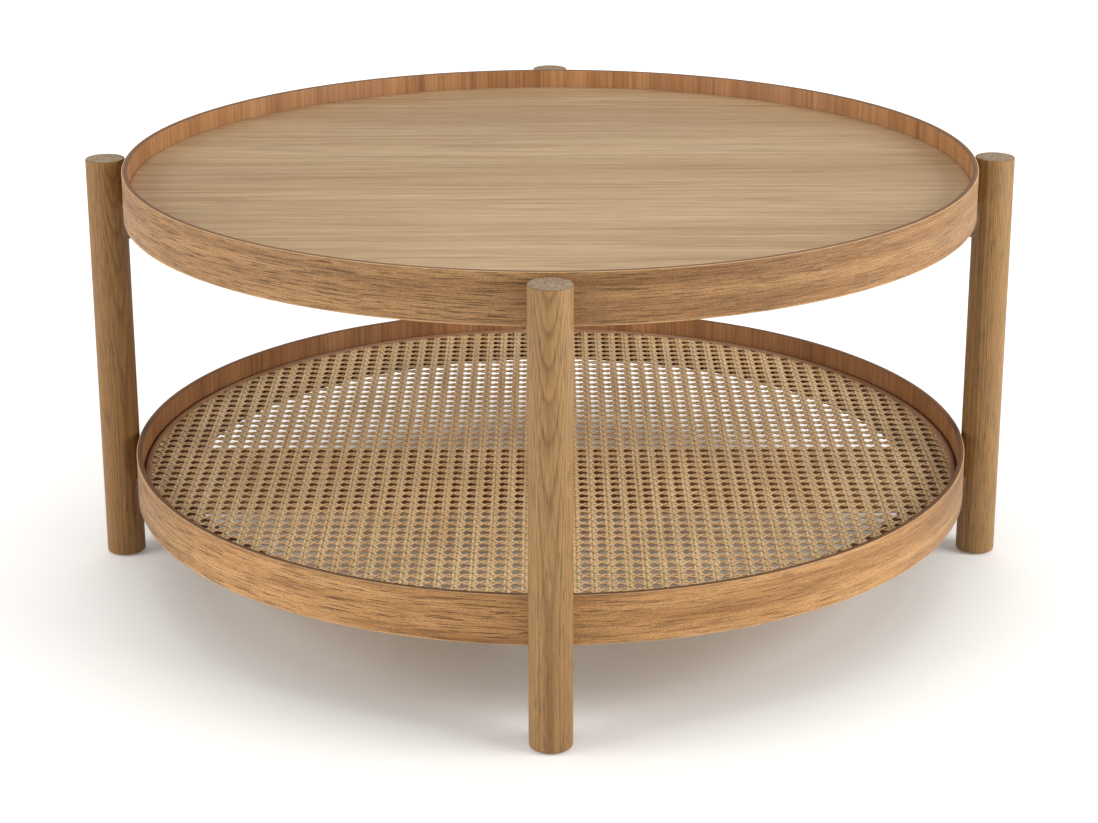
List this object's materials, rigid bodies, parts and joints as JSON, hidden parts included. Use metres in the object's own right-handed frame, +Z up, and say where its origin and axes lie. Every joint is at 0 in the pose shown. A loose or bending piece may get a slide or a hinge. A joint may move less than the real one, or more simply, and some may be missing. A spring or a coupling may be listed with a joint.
{
  "type": "coffee table",
  "caption": "Round two-tier coffee table: bent-plywood tray top over a cane webbing shelf, carried by cross rails between slim round posts.",
  "frame": {"origin": "on the floor, under the centre of the table", "axes": "+Z up, +X to the right-hand post, -Y to the front post"},
  "size_m": [0.879, 0.879, 0.403],
  "materials": {
    "post_wood": "satin lacquered solid wood, grain along the post",
    "hoop_plywood": "satin lacquered bent plywood, open grain round the hoop",
    "board_veneer": "matt lacquered pale veneer, straight grain from left to right",
    "frame_wood": "sanded and sealed solid wood",
    "cane_webbing": "natural rattan cane, woven in the open octagonal pattern",
    "reed_spline": "natural rattan reed",
    "zinc_steel": "zinc-plated steel",
    "glide_plastic": "moulded plastic"
  },
  "bodies": {
    "root": {"cane_panel": "cane_webbing", "cane_spline": "reed_spline", "foot_glide_back": "glide_plastic", "foot_glide_front": "glide_plastic", "foot_glide_left": "glide_plastic", "foot_glide_right": "glide_plastic", "post_back": "post_wood", "post_front": "post_wood", "post_left": "post_wood", "post_right": "post_wood", "shelf_hoop": "hoop_plywood", "shelf_plate_washers": "zinc_steel", "shelf_post_studs": "zinc_steel", "shelf_rail_front_back": "frame_wood", "shelf_rail_left_right": "frame_wood", "shelf_rail_screws": "zinc_steel", "shelf_ring_frame": "frame_wood", "shelf_stud_nuts": "zinc_steel", "top_board": "board_veneer", "top_hoop": "hoop_plywood", "top_plate_washers": "zinc_steel", "top_post_studs": "zinc_steel", "top_rail_front_back": "frame_wood", "top_rail_left_right": "frame_wood", "top_rail_screws": "zinc_steel", "top_ring_frame": "frame_wood", "top_stud_nuts": "zinc_steel"}
  },
  "joints": []
}
